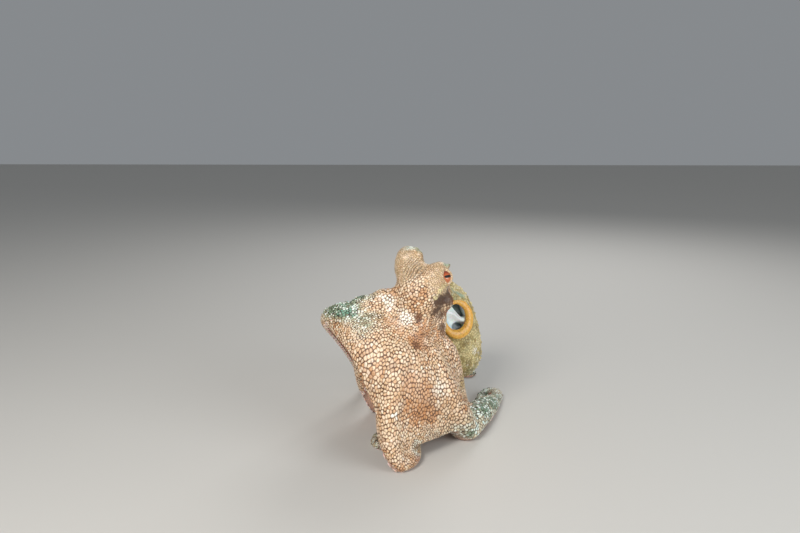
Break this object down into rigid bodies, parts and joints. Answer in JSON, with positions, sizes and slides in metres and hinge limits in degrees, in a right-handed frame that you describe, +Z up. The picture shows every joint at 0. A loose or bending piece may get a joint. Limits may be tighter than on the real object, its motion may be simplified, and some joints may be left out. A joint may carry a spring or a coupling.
{
  "type": "octopus",
  "caption": "Common octopus as a still life-size model, standing on gathered arms with a spread web, its mantle hanging behind its head.",
  "frame": {"origin": "on the floor, under the middle of the octopus's bounding box", "axes": "+Z up; +Y backwards from its front web to the tips of its arms; +X towards its left side"},
  "size_m": [0.2084, 0.3252, 0.2073],
  "materials": {
    "skin": "moist, cells of beige between brown lines",
    "mantle_skin": "moist, olive with small papillae",
    "lip": "moist, orange-yellow",
    "pale_inside": "wet, bluish white",
    "eye": "glossy, red-orange with a black slit"
  },
  "bodies": {
    "root": {"arm_l1_base": "skin", "arm_l1_middle": "skin", "arm_l1_tip": "skin", "arm_l2_base": "skin", "arm_l2_middle": "skin", "arm_l2_tip": "skin", "arm_l3_base": "skin", "arm_l3_middle": "skin", "arm_l3_tip": "skin", "arm_l4_base": "skin", "arm_l4_middle": "skin", "arm_l4_tip": "skin", "arm_r1_base": "skin", "arm_r1_middle": "skin", "arm_r1_tip": "skin", "arm_r2_base": "skin", "arm_r2_middle": "skin", "arm_r2_tip": "skin", "arm_r3_base": "skin", "arm_r3_middle": "skin", "arm_r3_tip": "skin", "arm_r4_base": "skin", "arm_r4_middle": "skin", "arm_r4_tip": "skin", "eye_left": "eye", "eye_right": "eye", "head": "skin", "mantle": "mantle_skin", "mantle_lip": "lip", "siphon_wall": "pale_inside", "web_l1_l2": "skin", "web_l2_l3": "skin", "web_l3_l4": "skin", "web_l4_r4": "skin", "web_r1_l1": "skin", "web_r2_r1": "skin", "web_r3_r2": "skin", "web_r4_r3": "skin"}
  },
  "joints": []
}
